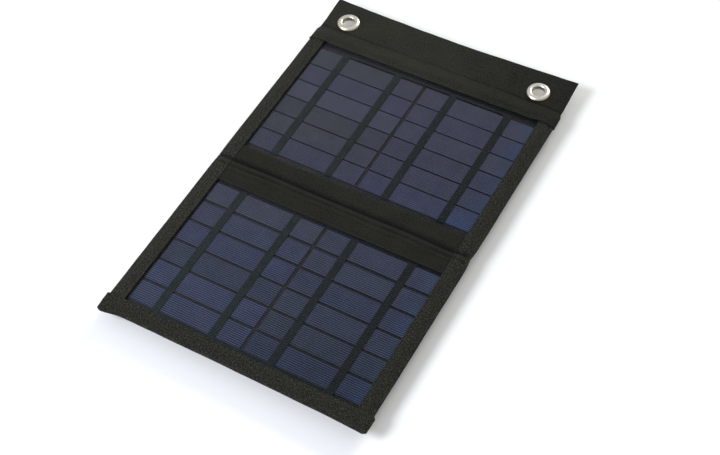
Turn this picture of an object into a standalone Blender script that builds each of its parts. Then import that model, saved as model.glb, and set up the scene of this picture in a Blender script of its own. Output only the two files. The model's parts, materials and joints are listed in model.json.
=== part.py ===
"""A folding camping solar panel: two cloth-bound panel halves, a cloth fold between them, a flap with
two eyelets at the top, and a voltage regulator box on the back of the lower half.

The panel lies flat with its cells facing up (+Z). X runs across it and +Y runs towards the flap.
Lengths below are in millimetres; MM turns them into Blender's metres. A half is laid out in
(x, s, z): s is the distance from the fold line, and z is the height above the panel's rear face.
"""
import math

import bmesh
import bpy
from mathutils import Matrix, Vector

MM = 0.001

# ---- driving dimensions ------------------------------------------------------------------------------
BODY_HALF_WIDTH = 90.0          # to the outer edge of the side bindings
LOWER_END = 130.2               # fold line to the bottom edge
FLAP_END = 155.5                # fold line to the free edge of the flap
GAP = 0.25                      # clearance between pieces that touch
FOLD_CUT = 0.3                  # clearance each side of the fold line
FOLDED_GAP = 0.35               # between the folded lower half and the sleeve

# layer stack, from the rear face up: (bottom, top) of each layer
REAR_LEG = (0.0, 0.6)
BACK_CLOTH = (0.85, 1.35)
BOARD = (1.6, 2.4)
BACKSHEET = (2.65, 2.95)
CELL = (3.2, 3.4)
RIBBON = (3.65, 3.8)
FILM = (4.05, 4.25)
FRONT_LEG = (4.5, 5.1)
SLEEVE_FRONT = (5.35, 5.95)
SLEEVE_REAR = (-0.85, -0.25)

# windows and laminates
WINDOW_LEFT, WINDOW_RIGHT = -78.9, 80.1
LOWER_WINDOW = (17.4, 120.4)
UPPER_WINDOW = (12.7, 115.5)
LAMINATE_X = 0.9
LAMINATE_HALF_WIDTH = 83.2
LOWER_LAMINATE = (12.4, 124.5)
UPPER_LAMINATE = (7.7, 119.5)
CELL_SIZE = (77.4, 14.6)
CELL_PITCH_X = 79.8
CELL_ROWS = 6
LOWER_ROW_PITCH = 16.6
UPPER_ROW_PITCH = 15.6
LOWER_ROWS_CENTRE = 68.3
UPPER_ROWS_CENTRE = 63.6
RIBBON_WIDTH = 5.0
RIBBON_OFFSET = 19.6            # from a cell's centre line to each of its two ribbons
RIBBON_OVERHANG = 1.0           # past the first and last cells
CROSS_RIBBON_WIDTH = 2.0

# stiffeners and back cloths
BOARD_HALF_WIDTH = 83.5
LOWER_BOARD = (8.0, 126.0)
UPPER_BOARD = (8.0, 126.0)
BACK_HALF_WIDTH = 84.5
LOWER_BACK_END = 125.5
UPPER_BACK_END = 126.2
CHANNEL_WIDTH = 3.4             # slot in each board for the flat cable

# bindings: cloth tape folded over the edges
TAPE = FRONT_LEG[1] - FRONT_LEG[0]
EDGE_RADIUS = 1.55              # outer radius of the folded edge
EDGE_TURN = math.radians(75)    # the edge is an arc from this angle to minus this angle
SHOULDER = 5.2                  # from the edge to where the tape lies flat
REAR_LEG_WIDTH = 10.0
SIDE_BINDING_TOP = 126.2
BINDING_BUTT = 0.3

# sleeve over the top end, and the flap
SLEEVE_HALF_WIDTH = 90.3
SLEEVE_SHOULDER = 126.8
FLAP_AXIS_S = 130.0
FLAP_Z = 2.55                   # middle of the flap's thickness, and its axis
FLAP_HALF_THICKNESS = 0.75
FLAP_HALF_WIDTH = 88.6
FLAP_ROUND_CENTRE = 1.2         # from the axis to the centre of each rounded end
FLAP_BEVEL = 0.35
SLEEVE_LIP_LENGTH = 0.7
SLEEVE_LIP_CLOTH = 0.3          # between the lip and the hollow of the sleeve
SLEEVE_HOLLOW_TIP = 0.2         # half the hollow's height beside the lip

# eyelets
EYELET_X = (-73.3, 68.7)
EYELET_S = 138.9
EYELET_HOLE = 4.0
EYELET_BARREL = 4.5
EYELET_FLANGE = 7.9
EYELET_FRONT = [(4.3, 1.9), (4.95, 2.35), (5.8, 2.45), (6.7, 2.2), (7.4, 1.65)]
EYELET_UNDER = [(7.35, 1.0), (6.95, 1.4), (6.4, 1.75), (5.8, 1.9), (5.2, 1.8), (4.75, 1.5)]
EYELET_LIP = [(4.75, -1.75), (5.7, -1.75), (5.8, -2.0), (5.4, -2.25), (4.5, -2.3)]
EYELET_REAR = -2.0              # heights of the barrel and the flange, from the flap's middle plane
EYELET_SHOULDER = 1.2
EYELET_RIM = 1.0
BARREL_Z = (-1.4, 0.9)          # outside of the barrel, between the lip and the flange
CLOTH_HOLE = 4.8
WASHER_RADII = (4.8, 7.7)
WASHER_Z = (-1.5, -1.0)         # below the flap's middle plane
ROUND_STEPS = 32

# regulator box
BOX_X = (-36.0, 36.0)
BOX_S = (8.5, 42.5)
BOX_HEIGHT = 9.0
BOX_CORNER = 4.0
BOX_WALL = 1.2
BOX_TOP = BACK_CLOTH[0] - GAP
BOX_BOTTOM = BOX_TOP - BOX_HEIGHT
CABLE_HOLE_S = (12.6, 18.9)
CABLE_HOLE_WIDTH = 3.6
SCREW_INSET = 3.9
SCREW_HEAD_RADIUS = 1.8
SCREW_SHANK_RADIUS = 0.9
SCREW_RECESS = 0.6
SCREW_HEAD_Z = (0.1, 0.55)      # above the foot of the box
SCREW_TIP = 0.55                # below the top of the box
SCREW_EDGE = 0.3
DRIVER_HOLE_RADIUS = 0.6
DRIVER_HOLE_DEPTH = 0.15
SMALL_STEPS = 16                # round a screw and its holes
SCREW_HOLE_END = 0.3            # below the top of the box
SCREW_HOLE_DEPTH = 2.0          # from the foot of the box
COVER_BEVEL = 0.9
COVER_BEVEL_SPLIT = 0.3         # of the bevel, where its slope changes
CUT_MARGIN = 1.0                # how far a cutting shape reaches past what it cuts

# circuit board and what is on it
PCB_X = (-27.0, 29.3)
PCB_HALF_S = 14.2
PCB_Z = (-4.4, -3.4)
USB_SIZE = (14.0, 13.1, 5.7)    # length, width, height of the shell
USB_WALL = 0.35
USB_MOUTH_X = 35.8
USB_Z = -3.9
USB_CLEARANCE = 0.3
TONGUE_CLEARANCE = 0.2
INDUCTOR_X = (-14.0, -6.5)
INDUCTOR_SIZE = (7.5, 2.2)      # along s, and height
INDUCTOR_CORNER = 1.4
CHIP_X = (1.5, 6.5)
CHIP_SIZE = (4.0, 1.5)
CAPACITOR_X = (11.0, 18.3)
CAPACITOR_SIZE = (4.4, 2.0)
TONGUE_SIZE = (9.0, 11.1, 1.84)
TONGUE_BLOCK_LENGTH = 3.6

# flat two-core cable
CABLE_WIDTH = 2.4
CABLE_THICKNESS = 0.8
CABLE_Z = (BOARD[0] + BOARD[1]) / 2
CABLE_BEND = 2.0
CABLE_EDGE = 0.25
LINK_DROP_S = 14.5
PAD_DROP_S = 17.0
PAD_START_S = 25.0
UPPER_CABLE_START = 18.0

# ---- places that follow ------------------------------------------------------------------------------
PANEL_Z = -BOX_BOTTOM                            # the box stands on Z = 0
FOLD_Y = (LOWER_END - FLAP_END) / 2              # so that the whole is centred on Y = 0
FOLD_AXIS_Z = (FRONT_LEG[1] + SLEEVE_FRONT[1] + FOLDED_GAP) / 2
BOX_MIDDLE_S = (BOX_S[0] + BOX_S[1]) / 2
UPPER, LOWER = 1, -1                             # which way s runs along Y


def world(x, s, z, side):
    """A point of a half, in metres."""
    return Vector((x, FOLD_Y + side * s, PANEL_Z + z)) * MM


# ---- materials ---------------------------------------------------------------------------------------
def material(name, colour, roughness, metallic=0.0, alpha=1.0):
    made = bpy.data.materials.new(name)
    made.use_nodes = True
    shader = made.node_tree.nodes["Principled BSDF"]
    shader.inputs["Base Color"].default_value = (*colour, 1.0)
    shader.inputs["Roughness"].default_value = roughness
    shader.inputs["Metallic"].default_value = metallic
    shader.inputs["Alpha"].default_value = alpha
    made.diffuse_color = (*colour, alpha)
    return made


# ---- building blocks ---------------------------------------------------------------------------------
def place(name, bm, finish, pivot, smooth=False):
    """Make one object from bm, whose points are in metres in the world. Its origin is its own middle,
    and its parent is the empty on its joint's axis."""
    bmesh.ops.recalc_face_normals(bm, faces=bm.faces)
    low = Vector([min(v.co[i] for v in bm.verts) for i in range(3)])
    high = Vector([max(v.co[i] for v in bm.verts) for i in range(3)])
    middle = (low + high) / 2
    bmesh.ops.translate(bm, verts=bm.verts, vec=-middle)
    mesh = bpy.data.meshes.new(name)
    bm.to_mesh(mesh)
    bm.free()
    if smooth:
        mesh.shade_smooth()
        mesh.set_sharp_from_angle(angle=math.radians(35))
    return add_object(name, mesh, finish, middle, pivot)


def add_object(name, mesh, finish, middle, pivot):
    made = bpy.data.objects.new(name, mesh)
    bpy.context.scene.collection.objects.link(made)
    if finish is not None and not mesh.materials:
        mesh.materials.append(finish)
    made.parent = pivot
    made.location = middle - pivot.location
    return made


def pivot_empty(name, location):
    made = bpy.data.objects.new(name, None)
    bpy.context.scene.collection.objects.link(made)
    made.empty_display_size = 0.02
    made.location = location
    return made


def add_box(bm, side, x, s, z):
    """Add a box that spans x, s and z, each a (low, high) pair in millimetres."""
    corner_a, corner_b = world(x[0], s[0], z[0], side), world(x[1], s[1], z[1], side)
    size = [abs(b - a) for a, b in zip(corner_a, corner_b)]
    where = Matrix.Translation((corner_a + corner_b) / 2) @ Matrix.Diagonal((*size, 1.0))
    bmesh.ops.create_cube(bm, size=1.0, matrix=where)


def box(name, side, x, s, z, finish, pivot):
    bm = bmesh.new()
    add_box(bm, side, x, s, z)
    return place(name, bm, finish, pivot)


def add_loft(bm, outlines):
    """Join rings of points, one after another, into a closed shape."""
    rings = [[bm.verts.new(p) for p in outline] for outline in outlines]
    bm.faces.new(rings[0])
    bm.faces.new(rings[-1])
    count = len(rings[0])
    for ring, following in zip(rings, rings[1:]):
        for i in range(count):
            j = (i + 1) % count
            bm.faces.new((ring[i], ring[j], following[j], following[i]))


def extruded(name, start, end, finish, pivot, smooth=False):
    bm = bmesh.new()
    add_loft(bm, [start, end])
    return place(name, bm, finish, pivot, smooth)


def arc(centre, radius, begin, finish, steps):
    """Points of an arc in a plane, with both ends."""
    angles = [begin + (finish - begin) * i / steps for i in range(steps + 1)]
    return [(centre[0] + radius * math.cos(a), centre[1] + radius * math.sin(a)) for a in angles]


def rounded_rectangle(x, s, radius, steps=4):
    """Outline in (x, s) with round corners."""
    quarter = math.pi / 2
    corners = [((x[1] - radius, s[1] - radius), 0), ((x[0] + radius, s[1] - radius), 1),
               ((x[0] + radius, s[0] + radius), 2), ((x[1] - radius, s[0] + radius), 3)]
    points = []
    for centre, turn in corners:
        points += arc(centre, radius, turn * quarter, (turn + 1) * quarter, steps)
    return points


def add_plate(bm, side, outline, z):
    """Extrude an (x, s) outline between two heights."""
    add_loft(bm, [[world(px, ps, height, side) for px, ps in outline] for height in z])


def plate(name, side, outline, z, finish, pivot, smooth=False):
    bm = bmesh.new()
    add_plate(bm, side, outline, z)
    return place(name, bm, finish, pivot, smooth)


def add_round(bm, centre, radius, z, steps=ROUND_STEPS):
    """An upright cylinder on the lower half, at centre (x, s)."""
    outline = arc(centre, radius, 0, 2 * math.pi, steps)[:-1]
    add_plate(bm, LOWER, outline, z)


def add_turned(bm, centre, profile, steps=ROUND_STEPS):
    """Turn a closed (radius, height) outline about the upright line through centre, in metres."""
    rings = []
    for i in range(steps):
        turn = 2 * math.pi * i / steps
        across = Vector((math.cos(turn), math.sin(turn), 0.0))
        rings.append([bm.verts.new(centre + (across * r + Vector((0, 0, h))) * MM) for r, h in profile])
    count = len(profile)
    for i in range(steps):
        ring, following = rings[i], rings[(i + 1) % steps]
        for j in range(count):
            k = (j + 1) % count
            bm.faces.new((ring[j], following[j], following[k], ring[k]))


def cut(target, cutter_mesh, name):
    """Take the closed shapes of cutter_mesh, a bmesh in world metres, out of target."""
    bmesh.ops.recalc_face_normals(cutter_mesh, faces=cutter_mesh.faces)
    mesh = bpy.data.meshes.new(name)
    cutter_mesh.to_mesh(mesh)
    cutter_mesh.free()
    cutter = bpy.data.objects.new(name, mesh)
    bpy.context.scene.collection.objects.link(cutter)
    cutter.hide_render = True
    cutter.display_type = "WIRE"
    modifier = target.modifiers.new(name, "BOOLEAN")
    modifier.operation = "DIFFERENCE"
    modifier.solver = "EXACT"
    modifier.object = cutter


# ---- the two halves ----------------------------------------------------------------------------------
def cell_centres(rows_centre, pitch):
    first = rows_centre - pitch * (CELL_ROWS - 1) / 2
    return [(LAMINATE_X + column * CELL_PITCH_X / 2, first + row * pitch)
            for row in range(CELL_ROWS) for column in (-1, 1)]


def make_cells(half, side, centres, finish, pivot):
    bm = bmesh.new()
    where = Matrix.Diagonal((CELL_SIZE[0] * MM, CELL_SIZE[1] * MM, (CELL[1] - CELL[0]) * MM, 1.0))
    bmesh.ops.create_cube(bm, size=1.0, matrix=where)
    mesh = bpy.data.meshes.new(half + "_cell")
    bm.to_mesh(mesh)
    bm.free()
    for number, (x, s) in enumerate(centres, start=1):
        middle = world(x, s, (CELL[0] + CELL[1]) / 2, side)
        add_object(f"{half}_cell_{number:02d}", mesh, finish, middle, pivot)


def make_ribbons(half, side, centres, finish, pivot):
    """Two black-coated ribbons down each column of cells, joined by a cross ribbon at the far end."""
    margin = CELL_SIZE[1] / 2 + RIBBON_OVERHANG
    start, end = centres[0][1] - margin, centres[-1][1] + margin
    columns = sorted({x for x, _ in centres})
    middles = [x + offset for x in columns for offset in (-RIBBON_OFFSET, RIBBON_OFFSET)]
    reach = RIBBON_WIDTH / 2
    comb = []
    for middle in middles:
        left, right = middle - reach, middle + reach
        comb += [(left, end), (left, start), (right, start), (right, end)]
    outer = end + CROSS_RIBBON_WIDTH
    outline = [(middles[0] - reach, outer)] + comb[1:-1] + [(middles[-1] + reach, outer)]
    plate(half + "_ribbons", side, outline, RIBBON, finish, pivot)


def make_laminate(half, side, ends, centres, finishes, pivot):
    across = (LAMINATE_X - LAMINATE_HALF_WIDTH, LAMINATE_X + LAMINATE_HALF_WIDTH)
    box(half + "_backsheet", side, across, ends, BACKSHEET, finishes["backsheet"], pivot)
    make_cells(half, side, centres, finishes["cell"], pivot)
    make_ribbons(half, side, centres, finishes["ribbon"], pivot)
    box(half + "_film", side, across, ends, FILM, finishes["film"], pivot)


def make_board(half, side, ends, channel_end, finish, pivot):
    """A stiffener with a slot from its fold edge for the cable."""
    slot = CHANNEL_WIDTH / 2
    outline = [(-BOARD_HALF_WIDTH, ends[0]), (-slot, ends[0]), (-slot, channel_end),
               (slot, channel_end), (slot, ends[0]), (BOARD_HALF_WIDTH, ends[0]),
               (BOARD_HALF_WIDTH, ends[1]), (-BOARD_HALF_WIDTH, ends[1])]
    plate(half + "_board", side, outline, BOARD, finish, pivot)


def tape_section(front_width, rear_width):
    """Outline (inward, height) of the tape folded over an edge; inward is counted from the edge."""
    centre = (EDGE_RADIUS, (REAR_LEG[0] + FRONT_LEG[1]) / 2)
    turn = math.pi - EDGE_TURN
    outer = arc(centre, EDGE_RADIUS, turn, 2 * math.pi - turn, 8)
    inner = arc(centre, EDGE_RADIUS - TAPE, 2 * math.pi - turn, turn, 6)
    return ([(front_width, FRONT_LEG[1]), (SHOULDER, FRONT_LEG[1])] + outer
            + [(SHOULDER, REAR_LEG[0]), (rear_width, REAR_LEG[0]), (rear_width, REAR_LEG[1]),
               (SHOULDER, REAR_LEG[1])] + inner
            + [(SHOULDER, FRONT_LEG[0]), (front_width, FRONT_LEG[0])])


def across_rings(section, half_width):
    """An (s, z) outline of the upper half, at both ends of its width."""
    return [[world(x, s, z, UPPER) for s, z in section] for x in (-half_width, half_width)]


def side_binding(name, side, hand, ends, finish, pivot):
    """hand is -1 on the left edge and 1 on the right."""
    window_edge = WINDOW_RIGHT if hand > 0 else -WINDOW_LEFT
    section = tape_section(BODY_HALF_WIDTH - window_edge, REAR_LEG_WIDTH)
    rings = [[world(hand * (BODY_HALF_WIDTH - inward), s, z, side) for inward, z in section] for s in ends]
    extruded(name, rings[0], rings[1], finish, pivot, smooth=True)


def bottom_binding(finish, pivot):
    width = LOWER_END - LOWER_WINDOW[1]
    section = tape_section(width, width)
    rings = [[world(x, LOWER_END - inward, z, LOWER) for inward, z in section]
             for x in (-BODY_HALF_WIDTH, BODY_HALF_WIDTH)]
    extruded("bottom_binding", rings[0], rings[1], finish, pivot, smooth=True)


def fold_cloth(half, side, window_start, finish, pivot):
    across = (WINDOW_LEFT + BINDING_BUTT, WINDOW_RIGHT - BINDING_BUTT)
    box(half + "_fold_cloth", side, across, (FOLD_CUT, window_start), FRONT_LEG, finish, pivot)


def back_cloth(half, side, end, finish, pivot):
    across = (-BACK_HALF_WIDTH, BACK_HALF_WIDTH)
    return box(half + "_back_cloth", side, across, (FOLD_CUT, end), BACK_CLOTH, finish, pivot)


def make_sleeve(finish, pivot):
    """Cloth over the top end: a front and a rear layer that meet in a thin lip at the flap's axis."""
    lip = FLAP_AXIS_S - FLAP_ROUND_CENTRE
    lip_start = lip - SLEEVE_LIP_LENGTH
    high, low = FLAP_Z + FLAP_HALF_THICKNESS, FLAP_Z - FLAP_HALF_THICKNESS
    tip = lip_start - SLEEVE_LIP_CLOTH
    shoulder = SLEEVE_SHOULDER - SLEEVE_LIP_CLOTH
    mouth = UPPER_WINDOW[1]
    front = [(mouth, SLEEVE_FRONT[1]), (SLEEVE_SHOULDER, SLEEVE_FRONT[1]), (lip_start, high)]
    turn = arc((lip, FLAP_Z), FLAP_HALF_THICKNESS, math.pi / 2, -math.pi / 2, 6)
    rear = [(lip_start, low), (SLEEVE_SHOULDER, SLEEVE_REAR[0]), (mouth, SLEEVE_REAR[0])]
    hollow = [(mouth, SLEEVE_REAR[1]), (shoulder, SLEEVE_REAR[1]), (tip, FLAP_Z - SLEEVE_HOLLOW_TIP),
              (tip, FLAP_Z + SLEEVE_HOLLOW_TIP), (shoulder, SLEEVE_FRONT[0]), (mouth, SLEEVE_FRONT[0])]
    start, end = across_rings(front + turn + rear + hollow, SLEEVE_HALF_WIDTH)
    extruded("top_sleeve", start, end, finish, pivot, smooth=True)


# ---- flap and eyelets --------------------------------------------------------------------------------
def make_flap(finish, pivot):
    near = arc((FLAP_AXIS_S + FLAP_ROUND_CENTRE, FLAP_Z), FLAP_HALF_THICKNESS, math.pi / 2,
               3 * math.pi / 2, 6)
    low, high = FLAP_Z - FLAP_HALF_THICKNESS, FLAP_Z + FLAP_HALF_THICKNESS
    far = [(FLAP_END - FLAP_BEVEL, low), (FLAP_END, low + FLAP_BEVEL), (FLAP_END, high - FLAP_BEVEL),
           (FLAP_END - FLAP_BEVEL, high)]
    start, end = across_rings(near + far, FLAP_HALF_WIDTH)
    flap = extruded("flap_cloth", start, end, finish, pivot, smooth=True)
    holes = bmesh.new()
    for x in EYELET_X:
        outline = arc((x, EYELET_S), CLOTH_HOLE, 0, 2 * math.pi, ROUND_STEPS)[:-1]
        add_plate(holes, UPPER, outline, (low - CUT_MARGIN, high + CUT_MARGIN))
    cut(flap, holes, "cut_eyelet_holes")


def eyelet_profile():
    """(radius, height) of the pressed metal: barrel, domed front flange and the rolled rear lip."""
    front = [(EYELET_HOLE, EYELET_REAR), (EYELET_HOLE, EYELET_SHOULDER)] + EYELET_FRONT
    under = [(EYELET_FLANGE, EYELET_RIM)] + EYELET_UNDER
    barrel = [(EYELET_BARREL, BARREL_Z[1]), (EYELET_BARREL, BARREL_Z[0])]
    return front + under + barrel + EYELET_LIP


def make_eyelets(finish, pivot):
    washer = [(WASHER_RADII[0], WASHER_Z[0]), (WASHER_RADII[0], WASHER_Z[1]),
              (WASHER_RADII[1], WASHER_Z[1]), (WASHER_RADII[1], WASHER_Z[0])]
    for hand, x in zip(("left", "right"), EYELET_X):
        centre = world(x, EYELET_S, FLAP_Z, UPPER)
        bm = bmesh.new()
        add_turned(bm, centre, eyelet_profile())
        place(hand + "_eyelet", bm, finish, pivot, smooth=True)
        bm = bmesh.new()
        add_turned(bm, centre, washer)
        place(hand + "_washer", bm, finish, pivot, smooth=True)


# ---- cables ------------------------------------------------------------------------------------------
def flat_cable(name, side, route, finish, pivot):
    """Sweep the cable's cross-section along a route of (s, z) points at x = 0."""
    wide, thick = CABLE_WIDTH / 2, CABLE_THICKNESS / 2
    flat, tall = wide - CABLE_EDGE, thick - CABLE_EDGE
    section = [(flat, thick), (wide, tall), (wide, -tall), (flat, -thick),
               (-flat, -thick), (-wide, -tall), (-wide, tall), (-flat, thick)]
    rings = []
    for i, (s, z) in enumerate(route):
        before, after = route[max(i - 1, 0)], route[min(i + 1, len(route) - 1)]
        along = Vector((after[0] - before[0], after[1] - before[1])).normalized()
        up = Vector((-along.y, along.x))
        rings.append([world(a, s + up.x * b, z + up.y * b, side) for a, b in section])
    bm = bmesh.new()
    add_loft(bm, rings)
    place(name, bm, finish, pivot, smooth=True)


def make_cables(finish, upper_pivot, lower_pivot):
    board_top = PCB_Z[1] + GAP
    flat_cable("upper_link_cable", UPPER, [(FOLD_CUT, CABLE_Z), (UPPER_CABLE_START, CABLE_Z)], finish,
               upper_pivot)
    link_bend = arc((LINK_DROP_S - CABLE_BEND, CABLE_Z - CABLE_BEND), CABLE_BEND, math.pi / 2, 0, 6)
    flat_cable("lower_link_cable", LOWER, [(FOLD_CUT, CABLE_Z)] + link_bend + [(LINK_DROP_S, board_top)],
               finish, lower_pivot)
    pad_bend = arc((PAD_DROP_S + CABLE_BEND, CABLE_Z - CABLE_BEND), CABLE_BEND, math.pi / 2, math.pi, 6)
    flat_cable("lower_panel_cable", LOWER, [(PAD_START_S, CABLE_Z)] + pad_bend + [(PAD_DROP_S, board_top)],
               finish, lower_pivot)


# ---- regulator box -----------------------------------------------------------------------------------
def screw_places():
    """Two opposite corners of the box."""
    return [(BOX_X[0] + SCREW_INSET, BOX_S[0] + SCREW_INSET),
            (BOX_X[1] - SCREW_INSET, BOX_S[1] - SCREW_INSET)]


def add_cable_hole(bm, z):
    add_box(bm, LOWER, (-CABLE_HOLE_WIDTH / 2, CABLE_HOLE_WIDTH / 2), CABLE_HOLE_S, z)


def add_screw_holes(bm, radius, z):
    for centre in screw_places():
        add_round(bm, centre, radius, z, SMALL_STEPS)


def make_box_base(finish, pivot):
    bottom = BOX_TOP - BOX_WALL
    base = plate("regulator_base", LOWER, rounded_rectangle(BOX_X, BOX_S, BOX_CORNER), (bottom, BOX_TOP),
                 finish, pivot, smooth=True)
    holes = bmesh.new()
    add_cable_hole(holes, (bottom - CUT_MARGIN, BOX_TOP + CUT_MARGIN))
    add_screw_holes(holes, SCREW_SHANK_RADIUS + GAP, (bottom - CUT_MARGIN, BOX_TOP - SCREW_HOLE_END))
    cut(base, holes, "cut_base_holes")


def cover_ring(z, inset):
    """The cover's outline at a height, drawn in by inset."""
    x = (BOX_X[0] + inset, BOX_X[1] - inset)
    s = (BOX_S[0] + inset, BOX_S[1] - inset)
    return [world(px, ps, z, LOWER) for px, ps in rounded_rectangle(x, s, BOX_CORNER - inset)]


def make_box_cover(finish, pivot):
    """An open tray, with the floor outermost, a window for the socket and two screw recesses."""
    top = BOX_TOP - BOX_WALL - GAP
    bend = COVER_BEVEL * COVER_BEVEL_SPLIT
    bm = bmesh.new()
    levels = [(BOX_BOTTOM, COVER_BEVEL), (BOX_BOTTOM + bend, bend), (BOX_BOTTOM + COVER_BEVEL, 0.0),
              (top, 0.0)]
    add_loft(bm, [cover_ring(z, inset) for z, inset in levels])
    cover = place("regulator_cover", bm, finish, pivot, smooth=True)

    wall_x = (BOX_X[0] + BOX_WALL, BOX_X[1] - BOX_WALL)
    wall_s = (BOX_S[0] + BOX_WALL, BOX_S[1] - BOX_WALL)
    inside = bmesh.new()
    add_plate(inside, LOWER, rounded_rectangle(wall_x, wall_s, BOX_CORNER - BOX_WALL),
              (BOX_BOTTOM + BOX_WALL, top + CUT_MARGIN))
    cut(cover, inside, "cut_cover_inside")

    holes = bmesh.new()
    socket_s = USB_SIZE[1] / 2 + USB_CLEARANCE
    socket_z = USB_SIZE[2] / 2 + USB_CLEARANCE
    add_box(holes, LOWER, (wall_x[1] - CUT_MARGIN, BOX_X[1] + CUT_MARGIN),
            (BOX_MIDDLE_S - socket_s, BOX_MIDDLE_S + socket_s), (USB_Z - socket_z, USB_Z + socket_z))
    add_screw_holes(holes, SCREW_SHANK_RADIUS + GAP, (BOX_BOTTOM - CUT_MARGIN, BOX_BOTTOM + SCREW_HOLE_DEPTH))
    cut(cover, holes, "cut_cover_holes")
    recesses = bmesh.new()
    add_screw_holes(recesses, SCREW_HEAD_RADIUS + GAP, (BOX_BOTTOM - CUT_MARGIN, BOX_BOTTOM + SCREW_RECESS))
    cut(cover, recesses, "cut_screw_recesses")


def make_screws(finish, pivot):
    """Two screws whose flat heads sit in the recesses, clear of the resting plane."""
    head_low, head_high = BOX_BOTTOM + SCREW_HEAD_Z[0], BOX_BOTTOM + SCREW_HEAD_Z[1]
    tip = BOX_TOP - SCREW_TIP
    profile = [(0.0, head_low + DRIVER_HOLE_DEPTH), (DRIVER_HOLE_RADIUS, head_low + DRIVER_HOLE_DEPTH),
               (DRIVER_HOLE_RADIUS, head_low), (SCREW_HEAD_RADIUS - SCREW_EDGE, head_low),
               (SCREW_HEAD_RADIUS, head_low + SCREW_EDGE / 3), (SCREW_HEAD_RADIUS, head_high),
               (SCREW_SHANK_RADIUS, head_high), (SCREW_SHANK_RADIUS, tip), (0.0, tip)]
    for number, (x, s) in enumerate(screw_places(), start=1):
        bm = bmesh.new()
        add_turned(bm, world(x, s, 0.0, LOWER), profile, SMALL_STEPS)
        bmesh.ops.remove_doubles(bm, verts=bm.verts, dist=1e-6)
        place(f"cover_screw_{number}", bm, finish, pivot, smooth=True)


def around_middle(width):
    """The (low, high) pair in s of something this wide, in the middle of the box."""
    return (BOX_MIDDLE_S - width / 2, BOX_MIDDLE_S + width / 2)


def make_circuit(finishes, pivot):
    notch_x = USB_MOUTH_X - USB_SIZE[0] - USB_CLEARANCE
    notch = around_middle(USB_SIZE[1] + 2 * USB_CLEARANCE)
    low, high = around_middle(2 * PCB_HALF_S)
    outline = [(PCB_X[0], low), (PCB_X[1], low), (PCB_X[1], notch[0]), (notch_x, notch[0]),
               (notch_x, notch[1]), (PCB_X[1], notch[1]), (PCB_X[1], high), (PCB_X[0], high)]
    plate("circuit_board", LOWER, outline, PCB_Z, finishes["pcb"], pivot)
    under = PCB_Z[0] - GAP
    inductor = rounded_rectangle(INDUCTOR_X, around_middle(INDUCTOR_SIZE[0]), INDUCTOR_CORNER, steps=3)
    plate("inductor", LOWER, inductor, (under - INDUCTOR_SIZE[1], under), finishes["inductor"], pivot,
          smooth=True)
    box("converter_chip", LOWER, CHIP_X, around_middle(CHIP_SIZE[0]), (under - CHIP_SIZE[1], under),
        finishes["chip"], pivot)
    box("capacitor", LOWER, CAPACITOR_X, around_middle(CAPACITOR_SIZE[0]),
        (under - CAPACITOR_SIZE[1], under), finishes["capacitor"], pivot)


def make_socket(finishes, pivot):
    length, width, height = USB_SIZE
    x = (USB_MOUTH_X - length, USB_MOUTH_X)
    s = around_middle(width)
    z = (USB_Z - height / 2, USB_Z + height / 2)
    shell = box("usb_shell", LOWER, x, s, z, finishes["steel"], pivot)
    hollow = bmesh.new()
    add_box(hollow, LOWER, (x[0] + USB_WALL, x[1] + CUT_MARGIN), (s[0] + USB_WALL, s[1] - USB_WALL),
            (z[0] + USB_WALL, z[1] - USB_WALL))
    cut(shell, hollow, "cut_usb_mouth")
    clear = USB_WALL + TONGUE_CLEARANCE
    block_end = x[0] + clear + TONGUE_BLOCK_LENGTH
    tongue_top = z[1] - clear
    tongue_low = tongue_top - TONGUE_SIZE[2]
    profile = [(x[0] + clear, tongue_top), (block_end + TONGUE_SIZE[0], tongue_top),
               (block_end + TONGUE_SIZE[0], tongue_low), (block_end, tongue_low),
               (block_end, z[0] + clear), (x[0] + clear, z[0] + clear)]
    start, end = [[world(px, ps, pz, LOWER) for px, pz in profile] for ps in around_middle(TONGUE_SIZE[1])]
    extruded("usb_tongue", start, end, finishes["tongue"], pivot)


# ---- the whole ---------------------------------------------------------------------------------------
def make_upper_half(finishes, pivot):
    centres = cell_centres(UPPER_ROWS_CENTRE, UPPER_ROW_PITCH)
    make_laminate("upper", UPPER, UPPER_LAMINATE, centres, finishes, pivot)
    make_board("upper", UPPER, UPPER_BOARD, UPPER_CABLE_START + 1.0, finishes["board"], pivot)
    back_cloth("upper", UPPER, UPPER_BACK_END, finishes["cloth"], pivot)
    fold_cloth("upper", UPPER, UPPER_WINDOW[0], finishes["cloth"], pivot)
    for name, hand in (("upper_left_binding", -1), ("upper_right_binding", 1)):
        side_binding(name, UPPER, hand, (FOLD_CUT, SIDE_BINDING_TOP), finishes["tape"], pivot)
    make_sleeve(finishes["cloth"], pivot)


def make_lower_half(finishes, pivot):
    centres = cell_centres(LOWER_ROWS_CENTRE, LOWER_ROW_PITCH)
    make_laminate("lower", LOWER, LOWER_LAMINATE, centres, finishes, pivot)
    make_board("lower", LOWER, LOWER_BOARD, PAD_START_S + 1.0, finishes["board"], pivot)
    cloth = back_cloth("lower", LOWER, LOWER_BACK_END, finishes["cloth"], pivot)
    hole = bmesh.new()
    add_cable_hole(hole, (BACK_CLOTH[0] - CUT_MARGIN, BACK_CLOTH[1] + CUT_MARGIN))
    cut(cloth, hole, "cut_cable_hole")
    fold_cloth("lower", LOWER, LOWER_WINDOW[0], finishes["cloth"], pivot)
    side_end = LOWER_WINDOW[1] - BINDING_BUTT
    for name, hand in (("lower_left_binding", -1), ("lower_right_binding", 1)):
        side_binding(name, LOWER, hand, (FOLD_CUT, side_end), finishes["tape"], pivot)
    bottom_binding(finishes["tape"], pivot)


def make_regulator(finishes, pivot):
    make_box_base(finishes["box"], pivot)
    make_box_cover(finishes["box"], pivot)
    make_screws(finishes["steel"], pivot)
    make_circuit(finishes, pivot)
    make_socket(finishes, pivot)


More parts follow.
